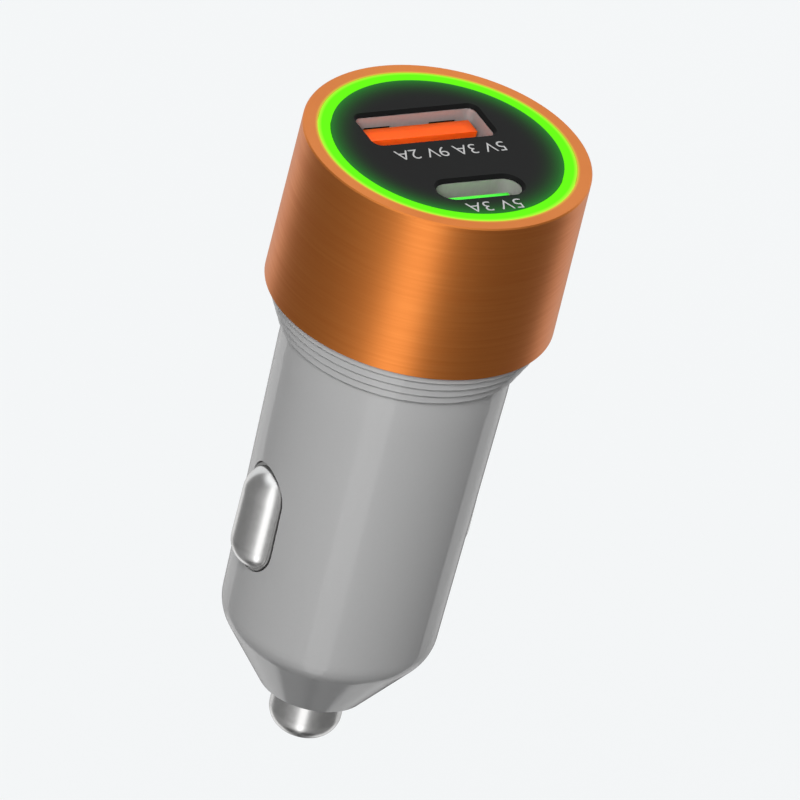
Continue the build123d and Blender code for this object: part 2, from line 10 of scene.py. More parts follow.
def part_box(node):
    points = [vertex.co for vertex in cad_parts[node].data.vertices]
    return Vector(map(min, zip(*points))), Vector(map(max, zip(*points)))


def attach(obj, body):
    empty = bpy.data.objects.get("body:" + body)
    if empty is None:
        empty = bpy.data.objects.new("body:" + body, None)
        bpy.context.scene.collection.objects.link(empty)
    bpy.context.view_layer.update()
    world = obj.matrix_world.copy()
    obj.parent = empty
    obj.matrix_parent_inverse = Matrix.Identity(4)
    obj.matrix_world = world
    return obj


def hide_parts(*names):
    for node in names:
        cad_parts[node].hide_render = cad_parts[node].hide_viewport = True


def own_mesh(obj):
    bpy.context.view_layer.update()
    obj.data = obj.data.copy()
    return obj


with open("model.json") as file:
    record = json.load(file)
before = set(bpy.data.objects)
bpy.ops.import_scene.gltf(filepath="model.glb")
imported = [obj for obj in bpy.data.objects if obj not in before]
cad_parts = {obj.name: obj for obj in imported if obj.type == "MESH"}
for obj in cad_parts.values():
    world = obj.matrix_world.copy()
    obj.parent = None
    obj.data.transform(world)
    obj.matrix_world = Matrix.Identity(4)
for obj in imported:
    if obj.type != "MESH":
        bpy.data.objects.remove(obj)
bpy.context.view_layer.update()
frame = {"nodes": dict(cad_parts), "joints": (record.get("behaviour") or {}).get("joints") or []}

bl_info = {
    "name": "Car charger plug",
    "version": (1, 0, 0),
    "blender": (4, 5, 0),
    "location": "3D View > Sidebar > Charger",
    "description": "Gives the packed charger plug its finishes, fine pieces and studio stage",
    "category": "Object",
}

MILLIMETRE = 0.001
FACE_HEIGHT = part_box("face_plate")[1].z
RING_OUTER_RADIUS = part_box("light_ring")[1].x
PLATE_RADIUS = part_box("face_plate")[1].x

# Most of a noise lies between these two values
GRAIN_LOW = 0.3
GRAIN_HIGH = 0.7

# Degrees round from the camera's side to the ends of the reflector's wall
WALL_END = 123


def linear(hex_colour):
    """Linear colour with alpha from an sRGB hex colour such as F59245."""
    channels = [int(hex_colour[i : i + 2], 16) / 255 for i in (0, 2, 4)]
    return tuple(c / 12.92 if c <= 0.04045 else ((c + 0.055) / 1.055) ** 2.4 for c in channels) + (1.0,)


def darker(colour, share):
    """Colour with its brightness cut to a share."""
    return tuple(share * channel for channel in colour[:3]) + (1.0,)


def frame_middle(name):
    """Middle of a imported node's box."""
    low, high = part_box(name)
    return (low + high) / 2


def colour_property(name, description, hex_colour):
    return FloatVectorProperty(
        name=name,
        description=description,
        subtype="COLOR",
        size=4,
        min=0,
        max=1,
        default=linear(hex_colour),
    )


def length_property(name, description, millimetres):
    return FloatProperty(
        name=name,
        description=description,
        default=millimetres * MILLIMETRE,
        min=0,
        precision=5,
        subtype="DISTANCE",
        unit="LENGTH",
    )


def angle_property(name, description, degrees):
    return FloatProperty(
        name=name,
        description=description,
        default=math.radians(degrees),
        subtype="ANGLE",
        unit="ROTATION",
    )


def level_property(name, description, level):
    return FloatProperty(name=name, description=description, default=level, min=0.01)


class ChargerColours(bpy.types.PropertyGroup):
    sleeve: colour_property("Sleeve", "Dye in the anodised layer of the head", "E98D45")
    sleeve_low: colour_property("Sleeve lines", "Dye where the brush cut deeper", "E2843E")
    barrel: colour_property("Barrel", "Silver grey spray coat of the barrel", "B0B0B0")
    face: colour_property("Face", "Black of the face plate", "121212")
    glow: colour_property("Glow", "Light of the ring", "68FF0A")
    # Ring's light with a painted reflection of the orange sleeve mixed in
    glow_with_sleeve_reflection: colour_property("Glow edge", "Light of the ring next to the sleeve", "B4FF3C")
    wide_tongue: colour_property("Wide tongue", "Insulator in the wide outlet", "F55A12")
    small_tongue: colour_property("Small tongue", "Insulator in the small outlet", "50FA46")
    print: colour_property("Print", "Ink of the ratings on the face", "AEAEAE")
    backdrop: colour_property("Backdrop", "Floor and background", "F2F4F5")


class ChargerSizes(bpy.types.PropertyGroup):
    brush_spacing: length_property("Brush lines", "Spacing of the brush lines round the sleeve", 0.28)
    glow_reach: length_property("Glow reach", "How far the ring's light creeps into the face", 4.2)
    rim_glow_reach: length_property("Rim glow reach", "How far the ring's light creeps onto the rim", 0.3)
    print_height: length_property("Print height", "Height of the capitals of the ratings", 1.43)
    print_thickness: length_property("Print thickness", "Thickness of the ink", 0.012)
    print_slimming: length_property("Print slimming", "About how much the letters' strokes are thinned", 0.03)
    wide_print_gap: length_property("Wide rating gap", "From the wide outlet's shell to its rating", 1.05)
    wide_print_length: length_property("Wide rating length", "Length of the wide outlet's rating", 11.2)
    small_print_gap: length_property("Small rating gap", "From the small outlet's shell to its rating", 0.74)
    small_print_length: length_property("Small rating length", "Length of the small outlet's rating", 5.6)
    tip_wire: length_property("Tip spring wire", "Wire diameter of the tip's spring", 0.45)
    tip_turns: IntProperty(name="Tip spring turns", description="Turns of the tip's spring", default=6, min=2)
    leaf_thickness: length_property("Leaf thickness", "Strip thickness of the leaf springs", 0.25)
    leaf_foot: length_property("Leaf foot", "Straight length at each end of a leaf spring", 1.0)
    winding_wire: length_property("Choke wire", "Diameter of the choke's copper wire", 0.36)


class ChargerTexts(bpy.types.PropertyGroup):
    wide_rating: StringProperty(
        name="Wide rating", description="Output rating printed under the wide outlet", default="5V 3A 9V 2A"
    )
    small_rating: StringProperty(
        name="Small rating", description="Output rating printed under the small outlet", default="5V 3A"
    )


class ChargerStage(bpy.types.PropertyGroup):
    azimuth: angle_property("Azimuth", "Direction of the camera round the plug, from the -Y side", -34.7)
    elevation: angle_property("Elevation", "Height of the camera above the horizon", 31.1)
    roll: angle_property("Roll", "Turn of the camera about its own axis", 14.25)
    camera_distance: length_property("Camera distance", "From the picture's middle back to the camera", 400)
    frame_width: length_property("Frame width", "Width of what the parallel camera sees", 71.67)
    floor_drop: length_property("Floor drop", "Height of the plug's origin above the floor", 150)
    floor_radius: length_property("Floor radius", "Radius of the round floor", 6000)
    aim_drop: length_property("Aim drop", "From the face down to the middle of the picture", 26.9)
    aim_side: length_property("Aim side", "From the long axis right to the middle of the picture", 1.44)
    lamp_distance: length_property("Lamp distance", "From the plug's origin to each lamp", 600)
    lamp_size: length_property("Lamp size", "Diameter of the round soft boxes", 250)
    key_level: level_property("Key level", "Brightness from the key lamp", 1.06)
    side_level: level_property("Side level", "Brightness from a side lamp", 0.1)
    world_level: level_property("World level", "Brightness from the sky", 0.1)
    strip_level: level_property("Strip level", "Brightness of the strip reflector", 1.55)
    ceiling_level: level_property("Ceiling level", "Brightness of the reflector's ceiling", 1.5)
    reflector_radius: length_property("Reflector radius", "Radius of the bowl that reflections see", 900)
    reflector_height: length_property("Reflector height", "Height of the bowl's wall", 1800)
    reflector_fade: length_property("Reflector fade", "Height where its pattern starts to fade out", 1000)


# Shader building


def add_node(tree, kind, inputs=(), **settings):
    """Adds a node, sets its properties, and gives its inputs values or other nodes' outputs."""
    node = tree.nodes.new(kind)
    for name, value in settings.items():
        setattr(node, name, value)
    for key, value in dict(inputs).items():
        if isinstance(value, bpy.types.NodeSocket):
            tree.links.new(value, node.inputs[key])
        else:
            node.inputs[key].default_value = value
    return node


def new_material(name, **settings):
    """Material with one principled shader, whose constant values are set on its own sockets."""
    material = bpy.data.materials.new(name)
    material.use_nodes = True
    tree = material.node_tree
    shader = tree.nodes["Principled BSDF"]
    for key, value in settings.items():
        shader.inputs[key.replace("_", " ")].default_value = value
    return material, tree, shader


def scaled_place(tree, across, along):
    """Place on the surface, counted in the given lengths across and along Z."""
    place = add_node(tree, "ShaderNodeTexCoord").outputs["Object"]
    scale = (1 / across, 1 / across, 1 / along)
    return add_node(tree, "ShaderNodeMapping", {"Vector": place, "Scale": scale}).outputs[0]


def sized_grain(tree, across, along=None, detail=2.0):
    """Noise whose cells have the given lengths across and along Z, or one length in all directions."""
    place = scaled_place(tree, across, along or across)
    grain = add_node(tree, "ShaderNodeTexNoise", {"Vector": place, "Scale": 1.0, "Detail": detail})
    return grain.outputs["Fac"]


def distance_from_axis(tree):
    """Distance of a surface point from the plug's long axis."""
    place = add_node(tree, "ShaderNodeTexCoord").outputs["Object"]
    flat = add_node(tree, "ShaderNodeMapping", {"Vector": place, "Scale": (1, 1, 0)})
    return add_node(tree, "ShaderNodeVectorMath", {0: flat.outputs[0]}, operation="LENGTH").outputs["Value"]


def surface_height(tree):
    """Height of a surface point along the plug's long axis."""
    place = add_node(tree, "ShaderNodeTexCoord").outputs["Object"]
    return add_node(tree, "ShaderNodeSeparateXYZ", {0: place}).outputs["Z"]


def tint(tree, shader, pattern, low, high, socket="Base Color"):
    """Colours the shader from low to high with a pattern. Each is a colour or another tint."""
    mix = add_node(tree, "ShaderNodeMix", {"Factor": pattern, 6: low, 7: high}, data_type="RGBA")
    tree.links.new(mix.outputs[2], shader.inputs[socket])
    return mix.outputs[2]


def vary_roughness(tree, shader, grain, low, high):
    """Lets the roughness run from low to high with a grain."""
    inputs = {0: grain, 1: GRAIN_LOW, 2: GRAIN_HIGH, 3: low, 4: high}
    roughness = add_node(tree, "ShaderNodeMapRange", inputs)
    tree.links.new(roughness.outputs[0], shader.inputs["Roughness"])


def relief(tree, shader, height, depth, strength):
    """Bump from a height pattern, of a depth in metres."""
    bump = add_node(tree, "ShaderNodeBump", {"Height": height, "Distance": depth, "Strength": strength})
    tree.links.new(bump.outputs[0], shader.inputs["Normal"])


def painted_glow(tree, shader, far, near, falloff, depth, level):
    """Paints a glow as emission on a surface's top: not at all at the far radius, and at the level at the
    near one.
    """
    way = add_node(tree, "ShaderNodeMapRange", {0: distance_from_axis(tree), 1: far, 2: near})
    curved = add_node(tree, "ShaderNodeMath", {0: way.outputs[0], 1: falloff}, operation="POWER")
    heights = {0: surface_height(tree), 1: FACE_HEIGHT - depth, 2: FACE_HEIGHT, 4: level}
    top = add_node(tree, "ShaderNodeMapRange", heights)
    shares = {0: curved.outputs[0], 1: top.outputs[0]}
    strength = add_node(tree, "ShaderNodeMath", shares, operation="MULTIPLY")
    tree.links.new(strength.outputs[0], shader.inputs["Emission Strength"])


def grey_ramp(tree, factor, stops):
    """Grey that follows stops of (position, level), with levels up to one."""
    ramp = add_node(tree, "ShaderNodeValToRGB", {0: factor})
    elements = ramp.color_ramp.elements
    while len(elements) < len(stops):
        elements.new(1)
    for element, (position, level) in zip(elements, stops):
        element.position = position
        element.color = (level, level, level, 1)
    return ramp.outputs[0]


def dress(material, *names):
    """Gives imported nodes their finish."""
    for name in names:
        for slot in frame["nodes"][name].material_slots:
            slot.link = "OBJECT"
            slot.material = material


def close_seam(*names):
    """Lets light run smoothly over the line on +X where a turned surface starts and ends."""
    close = 0.001 * MILLIMETRE
    for name in names:
        node = frame["nodes"][name]
        group = node.vertex_groups.new(name="seam")
        on_seam = [v.index for v in node.data.vertices if abs(v.co.y) < close and v.co.x > 0]
        group.add(on_seam, 1, "REPLACE")
        weld = node.modifiers.new("seam", "WELD")
        weld.vertex_group = group.name
        weld.merge_threshold = close


# Materials


def brushed_anodised_aluminium(colours, sizes):
    # Aluminium tube, turned, brushed round its axis and dyed orange: fine lines and upright soft highlights
    material, tree, shader = new_material(
        "brushed_anodised_aluminium",
        Metallic=1.0,
        Anisotropic=0.55,
        Anisotropic_Rotation=0.25,
        Emission_Color=colours.glow,
    )
    # Real brush lines lie less than 0.1 mm apart. These are as coarse as they need to be to show
    lines = sized_grain(tree, across=9 * MILLIMETRE, along=sizes.brush_spacing, detail=5.0)
    contrast = add_node(tree, "ShaderNodeMapRange", {0: lines, 1: GRAIN_LOW, 2: GRAIN_HIGH})
    tint(tree, shader, contrast.outputs[0], colours.sleeve_low, colours.sleeve)
    vary_roughness(tree, shader, lines, low=0.44, high=0.4)
    tangent = add_node(tree, "ShaderNodeTangent", direction_type="RADIAL", axis="Z")
    tree.links.new(tangent.outputs[0], shader.inputs["Tangent"])
    relief(tree, shader, lines, depth=0.003 * MILLIMETRE, strength=0.3)
    # Painted glow: green emission stands in for the ring's light on the rim next to it
    reach = sizes.rim_glow_reach
    painted_glow(tree, shader, RING_OUTER_RADIUS + reach, RING_OUTER_RADIUS, falloff=1, depth=reach, level=0.4)
    return material


def sprayed_abs(colours):
    # Moulded ABS with a silver grey spray coat and a clear coat: even grey with sharp faint reflections
    material, tree, shader = new_material(
        "sprayed_abs",
        Roughness=0.5,
        IOR=1.5,
        Specular_IOR_Level=0.25,
        Coat_Weight=1.0,
        Coat_Roughness=0.04,
        Coat_IOR=1.45,
    )
    # Real flakes measure some 0.03 mm. These are as coarse as they need to be to show
    flakes = sized_grain(tree, 0.25 * MILLIMETRE)
    tint(tree, shader, flakes, darker(colours.barrel, 0.96), colours.barrel)
    return material


def lit_acrylic(colours):
    # Clear acrylic light guide lit from below: an even green band, with a painted reflection of the orange
    # sleeve making it paler where it meets the sleeve
    material, tree, shader = new_material(
        "lit_acrylic",
        Base_Color=linear("000000"),
        Roughness=0.3,
        Specular_IOR_Level=0.02,
        Emission_Strength=1.0,
    )
    # Painted reflection: the sleeve's orange mixed into the ring's light at its outer edge
    sleeve_reflection_start = RING_OUTER_RADIUS - 0.35 * MILLIMETRE
    edge = add_node(
        tree, "ShaderNodeMapRange", {0: distance_from_axis(tree), 1: sleeve_reflection_start, 2: RING_OUTER_RADIUS}
    )
    tint(tree, shader, edge.outputs[0], colours.glow, colours.glow_with_sleeve_reflection, socket="Emission Color")
    return material


def textured_black_abs(colours, sizes):
    # Black ABS moulded in a fine eroded tool: deep satin black, with a painted glow of the ring's light
    # creeping in at its edge
    material, tree, shader = new_material(
        "textured_black_abs",
        Roughness=0.55,
        IOR=1.5,
        Specular_IOR_Level=0.09,
        # Green of the painted glow from the ring
        Emission_Color=linear("27FF38"),
    )
    # The real grain measures some 0.06 mm. This one is as coarse as it needs to be to show
    grain = sized_grain(tree, 0.12 * MILLIMETRE)
    tint(tree, shader, grain, darker(colours.face, 0.8), colours.face)
    relief(tree, shader, grain, depth=0.004 * MILLIMETRE, strength=0.4)
    # Painted glow: green emission fading in from the plate's edge stands in for the ring's light
    start = PLATE_RADIUS - sizes.glow_reach
    painted_glow(tree, shader, start, PLATE_RADIUS, falloff=4.8, depth=0.1 * MILLIMETRE, level=0.18)
    return material


def moulded_pbt(name, colour):
    # PBT insulator, moulded smooth: strong even colour with a low gloss, a little translucent at its edges
    material, tree, shader = new_material(
        name,
        Roughness=0.5,
        IOR=1.53,
        Specular_IOR_Level=0.25,
        Subsurface_Weight=0.35,
        Subsurface_Radius=(1.2, 0.5, 0.3),
        Subsurface_Scale=MILLIMETRE,
    )
    cloud = sized_grain(tree, 0.4 * MILLIMETRE)
    tint(tree, shader, cloud, darker(colour, 0.9), colour)
    return material


def stamped_steel():
    # Nickel plated steel sheet, rolled and stamped: grey metal with faint rolling lines along Z
    material, tree, shader = new_material("stamped_steel", Metallic=1.0)
    lines = sized_grain(tree, across=0.15 * MILLIMETRE, along=6 * MILLIMETRE, detail=4.0)
    tint(tree, shader, lines, linear("B8B5B2"), linear("D6D4D0"))
    vary_roughness(tree, shader, lines, low=0.3, high=0.42)
    return material


def matt_tinned_steel():
    # Steel sheet with a matt tin plate, folded or drawn: pale grey metal with a dull, even sheen
    material, tree, shader = new_material("matt_tinned_steel", Metallic=0.5)
    grain = sized_grain(tree, across=0.3 * MILLIMETRE, along=1.2 * MILLIMETRE, detail=3.0)
    tint(tree, shader, grain, linear("AEAAA8"), linear("C0BDBB"))
    vary_roughness(tree, shader, grain, low=0.5, high=0.6)
    return material


def nickel_plate():
    # Turned and pressed brass with satin nickel: soft reflections with faint wear
    material, tree, shader = new_material("nickel_plate", Metallic=1.0)
    wear = sized_grain(tree, 0.5 * MILLIMETRE, detail=5.0)
    tint(tree, shader, wear, linear("D9D8D7"), linear("E2E2E1"))
    vary_roughness(tree, shader, wear, low=0.22, high=0.27)
    return material


def gold_flash():
    # Phosphor bronze strip with a thin gold flash: warm metal with faint drawing lines
    material, tree, shader = new_material("gold_flash", Metallic=1.0)
    lines = sized_grain(tree, across=0.08 * MILLIMETRE, along=3 * MILLIMETRE, detail=3.0)
    tint(tree, shader, lines, linear("C99A45"), linear("E8C271"))
    vary_roughness(tree, shader, lines, low=0.22, high=0.34)
    return material


def glass_epoxy_board():
    # Glass cloth in epoxy under a green solder mask: dark green with the cloth's weave just showing
    material, tree, shader = new_material("glass_epoxy_board", Roughness=0.35, IOR=1.52)
    thread_spacing = 0.5 * MILLIMETRE
    inputs = {
        "Vector": scaled_place(tree, thread_spacing, thread_spacing),
        "Color1": linear("0F5A2E"),
        "Color2": linear("147038"),
        "Scale": 1.0,
    }
    weave = add_node(tree, "ShaderNodeTexChecker", inputs)
    tree.links.new(weave.outputs["Color"], shader.inputs["Base Color"])
    relief(tree, shader, weave.outputs["Fac"], depth=0.01 * MILLIMETRE, strength=0.3)
    return material


def moulded_epoxy():
    # Chip package moulded in black epoxy, with tinned leads on both long sides
    material, tree, shader = new_material("moulded_epoxy", IOR=1.55)
    middle = frame_middle("charge_controller").z
    half_body = 1.96 * MILLIMETRE
    offset = add_node(tree, "ShaderNodeMath", {0: surface_height(tree), 1: middle}, operation="SUBTRACT")
    away = add_node(tree, "ShaderNodeMath", {0: offset.outputs[0]}, operation="ABSOLUTE")
    lead = add_node(tree, "ShaderNodeMath", {0: away.outputs[0], 1: half_body}, operation="GREATER_THAN")
    grain = sized_grain(tree, 0.1 * MILLIMETRE)
    black = tint(tree, shader, grain, linear("161616"), linear("262626"))
    tint(tree, shader, lead.outputs[0], black, linear("C9CCD0"))
    tree.links.new(lead.outputs[0], shader.inputs["Metallic"])
    roughness = add_node(tree, "ShaderNodeMapRange", {0: lead.outputs[0], 3: 0.6, 4: 0.3})
    tree.links.new(roughness.outputs[0], shader.inputs["Roughness"])
    return material


def sleeved_capacitor_can():
    # Aluminium can in a shrunk PET sleeve: glossy dark blue body and a bare metal end with its leads
    material, tree, shader = new_material("sleeved_capacitor_can", IOR=1.55)
    bare_length = 1.4 * MILLIMETRE
    sleeve_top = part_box("input_capacitor")[1].z - bare_length
    heights = {0: surface_height(tree), 1: sleeve_top}
    bare = add_node(tree, "ShaderNodeMath", heights, operation="GREATER_THAN").outputs[0]
    grain = sized_grain(tree, 0.6 * MILLIMETRE)
    sleeve = tint(tree, shader, grain, linear("14203C"), linear("1B2A4C"))
    tint(tree, shader, bare, sleeve, linear("D2D4D6"))
    tree.links.new(bare, shader.inputs["Metallic"])
    vary_roughness(tree, shader, grain, low=0.2, high=0.3)
    return material


def fired_ferrite():
    # Pressed and fired ferrite: dull dark grey with a sandy grain
    material, tree, shader = new_material("fired_ferrite", Roughness=0.75, IOR=1.6)
    grain = sized_grain(tree, 0.15 * MILLIMETRE, detail=4.0)
    tint(tree, shader, grain, linear("2C2C2E"), linear("46464A"))
    relief(tree, shader, grain, depth=0.02 * MILLIMETRE, strength=0.6)
    return material


def enamelled_copper():
    # Copper wire with a clear enamel: red brown metal under a thin gloss
    material, tree, shader = new_material("enamelled_copper", Metallic=1.0, Roughness=0.28, Coat_Weight=0.6)
    tint(tree, shader, sized_grain(tree, 0.5 * MILLIMETRE), linear("A85A30"), linear("C8733F"))
    return material


def natural_nylon():
    # Glass filled nylon, moulded in its natural colour: warm white with a faint cloud
    material, tree, shader = new_material("natural_nylon", Roughness=0.5, IOR=1.53, Subsurface_Weight=0.1)
    cloud = sized_grain(tree, 1.2 * MILLIMETRE, detail=3.0)
    tint(tree, shader, cloud, linear("DEDACE"), linear("EDEAE1"))
    return material


def white_lamp_case(glow):
    # White ceramic-filled lamp case whose lens, a little below its top, shines green
    material, tree, shader = new_material("white_lamp_case", Roughness=0.45, IOR=1.5, Emission_Color=glow)
    circle = frame_middle("led_2").xy.length
    lens_radius = 0.5 * MILLIMETRE
    lens_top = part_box("led_2")[1].z - 0.1 * MILLIMETRE
    offset = add_node(tree, "ShaderNodeMath", {0: distance_from_axis(tree), 1: circle}, operation="SUBTRACT")
    beside = add_node(tree, "ShaderNodeMath", {0: offset.outputs[0]}, operation="ABSOLUTE")
    inside = add_node(tree, "ShaderNodeMath", {0: beside.outputs[0], 1: lens_radius}, operation="LESS_THAN")
    sunk = add_node(tree, "ShaderNodeMath", {0: surface_height(tree), 1: lens_top}, operation="LESS_THAN")
    lit = add_node(tree, "ShaderNodeMath", {0: inside.outputs[0], 1: sunk.outputs[0]}, operation="MULTIPLY")
    tint(tree, shader, sized_grain(tree, 0.3 * MILLIMETRE), linear("E4E2DA"), linear("F0EFEA"))
    tree.links.new(lit.outputs[0], shader.inputs["Emission Strength"])
    return material


def pad_printed_ink(colours):
    # Light grey pad printing ink: flat matt letters, a little thin in places
    material, tree, shader = new_material("pad_printed_ink", Roughness=0.6, IOR=1.48)
    cover = sized_grain(tree, 0.2 * MILLIMETRE)
    tint(tree, shader, cover, darker(colours.print, 0.85), colours.print)
    return material


# Mesh building


def add_piece(name, mesh, material):
    """Links a fine piece to the plug's body with its finish."""
    piece = bpy.data.objects.new(name, mesh)
    bpy.context.scene.collection.objects.link(piece)
    mesh.materials.clear()
    mesh.materials.append(material)
    for polygon in mesh.polygons:
        polygon.use_smooth = True
    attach(piece, "plug")
    return piece


def mesh_from_curve(curve):
    """Mesh of a curve or a text, which is removed afterwards."""
    holder = bpy.data.objects.new(curve.name, curve)
    mesh = bpy.data.meshes.new_from_object(holder)
    bpy.data.objects.remove(holder)
    bpy.data.curves.remove(curve)
    return mesh


def mesh_from_build(name, built):
    """Mesh of what was built, which is freed afterwards."""
    mesh = bpy.data.meshes.new(name)
    built.to_mesh(mesh)
    built.free()
    return mesh


def wire_mesh(name, points, diameter):
    """Mesh of a round wire through closely set points."""
    curve = bpy.data.curves.new(name, "CURVE")
    curve.dimensions = "3D"
    curve.bevel_depth = diameter / 2
    curve.bevel_resolution = 3
    curve.use_fill_caps = True
    spline = curve.splines.new("POLY")
    spline.points.add(len(points) - 1)
    for point, place in zip(spline.points, points):
        point.co = (*place, 1)
    return mesh_from_curve(curve)


def coil_points(radius, start, end, turns, wire):
    """Points of a compression coil along Z whose end turns lie closed."""
    steps = 28
    closed = 0.75
    free_pitch = (end - start - 2 * closed * wire) / (turns - 2 * closed)
    points = []
    for step in range(int(turns * steps) + 1):
        turn = step / steps
        in_first = min(turn, closed)
        in_last = max(turn - (turns - closed), 0)
        free = turn - in_first - in_last
        angle = 2 * math.pi * turn
        height = start + (in_first + in_last) * wire + free * free_pitch
        points.append((radius * math.cos(angle), radius * math.sin(angle), height))
    return points


def strip_mesh(name, path, thickness, low_y, high_y):
    """Mesh of a bent strip: a path of (x, z) points given a thickness and a width along Y."""
    built = bmesh.new()
    rows = []
    for index, (x, z) in enumerate(path):
        before = path[max(index - 1, 0)]
        after = path[min(index + 1, len(path) - 1)]
        along = Vector((after[0] - before[0], after[1] - before[1])).normalized()
        side = Vector((along.y, -along.x)) * thickness / 2
        row = []
        for y, sign in ((low_y, -1), (high_y, -1), (high_y, 1), (low_y, 1)):
            row.append(built.verts.new((x + sign * side.x, y, z + sign * side.y)))
        rows.append(row)
    for row, following in zip(rows, rows[1:]):
        for corner in range(4):
            turn = (corner + 1) % 4
            built.faces.new((row[corner], row[turn], following[turn], following[corner]))
    built.faces.new(rows[0])
    built.faces.new(list(reversed(rows[-1])))
    bmesh.ops.recalc_face_normals(built, faces=built.faces)
    return mesh_from_build(name, built)


def turned_mesh(name, inner, outer, reach=math.pi):
    """Surface swept about Z between two (radius, height) points, by an angle to both sides of X."""
    steps = 48
    built = bmesh.new()
    rows = []
    for step in range(steps + 1):
        angle = reach * (2 * step / steps - 1)
        row = []
        for radius, height in (inner, outer):
            row.append(built.verts.new((radius * math.cos(angle), radius * math.sin(angle), height)))
        rows.append(row)
    for (near, far), (next_near, next_far) in zip(rows, rows[1:]):
        built.faces.new((near, far, next_far, next_near))
    return mesh_from_build(name, built)


# Operators


class CHARGER_OT_sleeve(bpy.types.Operator):
    """Brushed and anodised finish of the head sleeve"""

    bl_idname = "charger.sleeve"
    bl_label = "Head Sleeve"

    def execute(self, context):
        scene = context.scene
        dress(brushed_anodised_aluminium(scene.charger_colours, scene.charger_sizes), "head_shell")
        close_seam("head_shell")
        return {"FINISHED"}


class CHARGER_OT_barrel(bpy.types.Operator):
    """Sprayed finish of the moulded barrel, neck and nose"""

    bl_idname = "charger.barrel"
    bl_label = "Barrel"

    def execute(self, context):
        dress(sprayed_abs(context.scene.charger_colours), "body_shell")
        return {"FINISHED"}


class CHARGER_OT_light_ring(bpy.types.Operator):
    """Lit acrylic ring"""

    bl_idname = "charger.light_ring"
    bl_label = "Light Ring"

    def execute(self, context):
        dress(lit_acrylic(context.scene.charger_colours), "light_ring")
        return {"FINISHED"}


class CHARGER_OT_face(bpy.types.Operator):
    """Textured black face plate"""

    bl_idname = "charger.face"
    bl_label = "Face Plate"

    def execute(self, context):
        scene = context.scene
        dress(textured_black_abs(scene.charger_colours, scene.charger_sizes), "face_plate")
        return {"FINISHED"}


class CHARGER_OT_ratings(bpy.types.Operator):
    """Printed output ratings beside the outlets"""

    bl_idname = "charger.ratings"
    bl_label = "Ratings"

    def execute(self, context):
        scene = context.scene
        sizes = scene.charger_sizes
        ink = pad_printed_ink(scene.charger_colours)
        texts = scene.charger_texts
        wide_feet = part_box("usb_a_shell")[0].y - sizes.wide_print_gap
        small_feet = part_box("usb_c_shell")[0].y - sizes.small_print_gap
        self.letter("wide_rating", texts.wide_rating, wide_feet, sizes.wide_print_length, sizes, ink)
        self.letter("small_rating", texts.small_rating, small_feet, sizes.small_print_length, sizes, ink)
        return {"FINISHED"}

    def letter(self, name, text, feet, length, sizes, ink):
        """One line of capitals that reads from +X to -X, with its feet at the given Y."""
        curve = bpy.data.curves.new(name, "FONT")
        curve.body = text
        curve.extrude = sizes.print_thickness / 2
        # The type is about one unit high before it is scaled to its print height
        curve.offset = -sizes.print_slimming / sizes.print_height / 2
        mesh = mesh_from_curve(curve)
        xs = [vertex.co.x for vertex in mesh.vertices]
        ys = [vertex.co.y for vertex in mesh.vertices]
        zs = [vertex.co.z for vertex in mesh.vertices]
        size = Vector((length / (max(xs) - min(xs)), sizes.print_height / (max(ys) - min(ys)), 1))
        centre = Vector(((max(xs) + min(xs)) / 2, min(ys), min(zs)))
        foot = Vector((0, feet, FACE_HEIGHT))
        turned = Matrix.Translation(foot) @ Matrix.Rotation(math.pi, 4, "Z")
        mesh.transform(turned @ Matrix.Diagonal((*size, 1)) @ Matrix.Translation(-centre))
        add_piece(name, mesh, ink)


class CHARGER_OT_outlets(bpy.types.Operator):
    """Steel shells, coloured tongues and contacts of both outlets"""

    bl_idname = "charger.outlets"
    bl_label = "Outlets"

    def execute(self, context):
        colours = context.scene.charger_colours
        dress(matt_tinned_steel(), "usb_a_shell", "usb_c_shell")
        dress(moulded_pbt("orange_pbt", colours.wide_tongue), "usb_a_tongue")
        dress(moulded_pbt("green_pbt", colours.small_tongue), "usb_c_tongue")
        dress(gold_flash(), "usb_a_contacts", "usb_c_contacts", "led_pins", "positive_terminal")
        return {"FINISHED"}


class CHARGER_OT_contacts(bpy.types.Operator):
    """Nickel plated side contacts and tip"""

    bl_idname = "charger.contacts"
    bl_label = "Sprung Contacts"

    def execute(self, context):
        dress(nickel_plate(), "right_contact", "left_contact", "tip_contact")
        close_seam("tip_contact")
        return {"FINISHED"}


